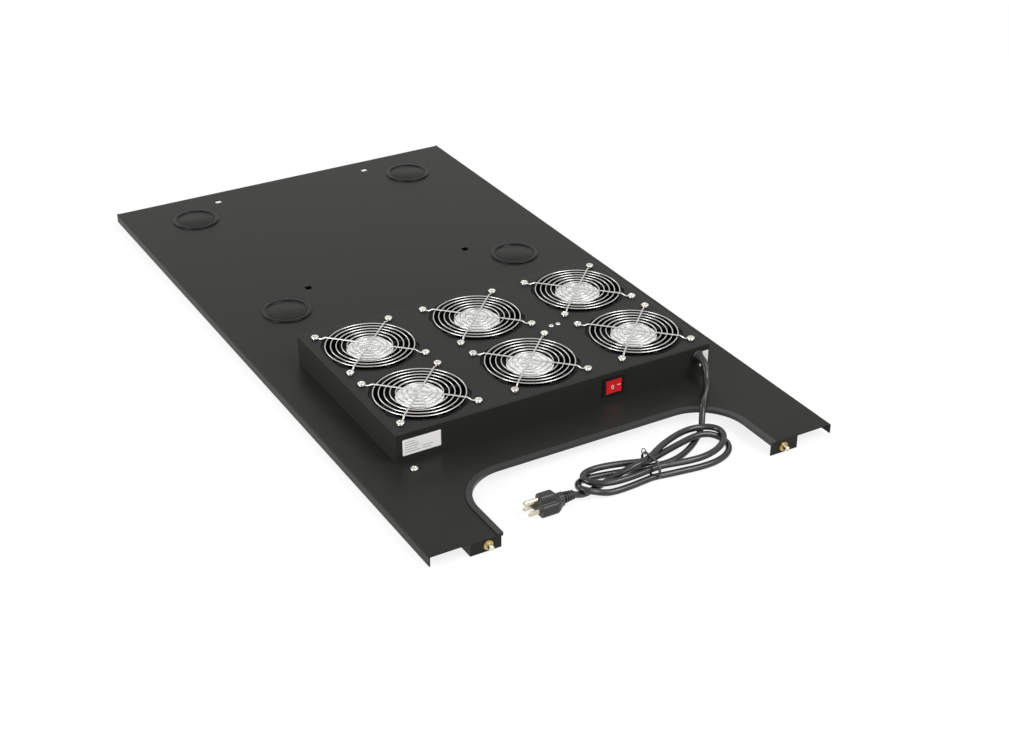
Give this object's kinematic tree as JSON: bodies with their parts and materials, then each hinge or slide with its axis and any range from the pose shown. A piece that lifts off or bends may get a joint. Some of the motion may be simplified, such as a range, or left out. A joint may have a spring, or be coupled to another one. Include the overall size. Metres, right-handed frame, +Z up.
{
  "type": "rack fan tray",
  "caption": "Folded cabinet roof panel with an extractor fan box, wire finger guards, rocker switch, mains cord and plug, cable cut-out with trim, blanking plugs and spring latches.",
  "frame": {"origin": "on the floor under the middle of the panel's footprint; the tabs stand on the floor at Z = 0", "axes": "+X to the right, +Y to the rear, +Z up; the cable cut-out, the switch and the spring latches are at the front, towards -Y"},
  "size_m": [0.554, 1.046, 0.063],
  "materials": {
    "powder_coat": "fine-textured black powder coat with an olive-grey sheen, semi-gloss",
    "trim_plastic": "black extruded edging, satin",
    "plug_plastic": "black moulded nylon, glossy",
    "fan_casting": "black enamelled die-cast alloy",
    "impeller_plastic": "black glass-filled plastic",
    "bright_wire": "bright plated steel wire",
    "label_foil": "silver foil label, blank",
    "copper_winding": "varnished winding and core",
    "bearing_steel": "ground bearing steel",
    "zinc_screws": "zinc-plated steel",
    "rivet_metal": "aluminium blind rivet",
    "terminal_plastic": "natural polyamide",
    "switch_plastic": "black moulded plastic",
    "red_rocker": "translucent red plastic",
    "tinned_brass": "tinned brass blade",
    "bushing_nylon": "black nylon",
    "cord_pvc": "black PVC jacket, satin",
    "tie_plastic": "black plastic tie",
    "plug_pvc": "black moulded PVC",
    "nickel_prongs": "nickel-plated brass",
    "yellow_zinc": "yellow-passivated zinc plating",
    "latch_steel": "zinc-plated steel pin",
    "spring_steel": "spring wire"
  },
  "bodies": {
    "tray": {"box_nuts": "zinc_screws", "box_screws": "zinc_screws", "cord_bushing": "bushing_nylon", "cord_hank": "cord_pvc", "earth_nut": "zinc_screws", "earth_screw": "zinc_screws", "edge_trim": "trim_plastic", "fan_box": "powder_coat", "fan_frame_front_centre": "fan_casting", "fan_frame_front_left": "fan_casting", "fan_frame_front_right": "fan_casting", "fan_frame_rear_centre": "fan_casting", "fan_frame_rear_left": "fan_casting", "fan_frame_rear_right": "fan_casting", "fan_plate": "powder_coat", "finger_guard_front_centre": "bright_wire", "finger_guard_front_left": "bright_wire", "finger_guard_front_right": "bright_wire", "finger_guard_rear_centre": "bright_wire", "finger_guard_rear_left": "bright_wire", "finger_guard_rear_right": "bright_wire", "guard_nuts": "zinc_screws", "guard_screws": "zinc_screws", "hank_tie": "tie_plastic", "hole_plug_front_left": "plug_plastic", "hole_plug_front_right": "plug_plastic", "hole_plug_rear_left": "plug_plastic", "hole_plug_rear_right": "plug_plastic", "latch_bush_left": "yellow_zinc", "latch_bush_right": "yellow_zinc", "latch_caps": "yellow_zinc", "latch_nuts": "zinc_screws", "latch_spring_left": "spring_steel", "latch_spring_right": "spring_steel", "motor_bearings": "bearing_steel", "motor_brackets": "fan_casting", "motor_labels": "label_foil", "motor_stators": "copper_winding", "plug_body": "plug_pvc", "plug_lead": "cord_pvc", "plug_prongs": "nickel_prongs", "power_cord": "cord_pvc", "rear_pins": "latch_steel", "roof_panel": "powder_coat", "switch_blades": "tinned_brass", "switch_housing": "switch_plastic", "terminal_block": "terminal_plastic", "top_rivets": "rivet_metal"},
    "rotor_front_left": {"fan_rotor_front_left": "impeller_plastic"},
    "rotor_front_centre": {"fan_rotor_front_centre": "impeller_plastic"},
    "rotor_front_right": {"fan_rotor_front_right": "impeller_plastic"},
    "rotor_rear_left": {"fan_rotor_rear_left": "impeller_plastic"},
    "rotor_rear_centre": {"fan_rotor_rear_centre": "impeller_plastic"},
    "rotor_rear_right": {"fan_rotor_rear_right": "impeller_plastic"},
    "rocker": {"switch_rocker": "red_rocker"},
    "latch_left": {"latch_pin_left": "latch_steel"},
    "latch_right": {"latch_pin_right": "latch_steel"}
  },
  "joints": [
    {"name": "spin_front_left", "type": "hinge", "parent": "tray", "child": "rotor_front_left", "pos_m": [-0.1554, -0.25935, 0.035], "axis": [0, 0, 1], "continuous": true},
    {"name": "spin_front_centre", "type": "hinge", "parent": "tray", "child": "rotor_front_centre", "pos_m": [0, -0.25935, 0.035], "axis": [0, 0, 1], "continuous": true},
    {"name": "spin_front_right", "type": "hinge", "parent": "tray", "child": "rotor_front_right", "pos_m": [0.1554, -0.25935, 0.035], "axis": [0, 0, 1], "continuous": true},
    {"name": "spin_rear_left", "type": "hinge", "parent": "tray", "child": "rotor_rear_left", "pos_m": [-0.1554, -0.12265, 0.035], "axis": [0, 0, 1], "continuous": true},
    {"name": "spin_rear_centre", "type": "hinge", "parent": "tray", "child": "rotor_rear_centre", "pos_m": [0, -0.12265, 0.035], "axis": [0, 0, 1], "continuous": true},
    {"name": "spin_rear_right", "type": "hinge", "parent": "tray", "child": "rotor_rear_right", "pos_m": [0.1554, -0.12265, 0.035], "axis": [0, 0, 1], "continuous": true},
    {"name": "rocker_tilt", "type": "hinge", "parent": "tray", "child": "rocker", "pos_m": [0.0777, -0.3295, 0.0378], "axis": [0, 0, 1], "range_deg": [-9, 9]},
    {"name": "latch_left_slide", "type": "slide", "parent": "tray", "child": "latch_left", "axis": [0, 1, 0], "range_m": [0, 0.007], "stiffness_N_per_m": 400, "springref_m": -0.006, "deforming": ["latch_spring_left"]},
    {"name": "latch_right_slide", "type": "slide", "parent": "tray", "child": "latch_right", "axis": [0, 1, 0], "range_m": [0, 0.007], "stiffness_N_per_m": 400, "springref_m": -0.006, "deforming": ["latch_spring_right"]}
  ]
}
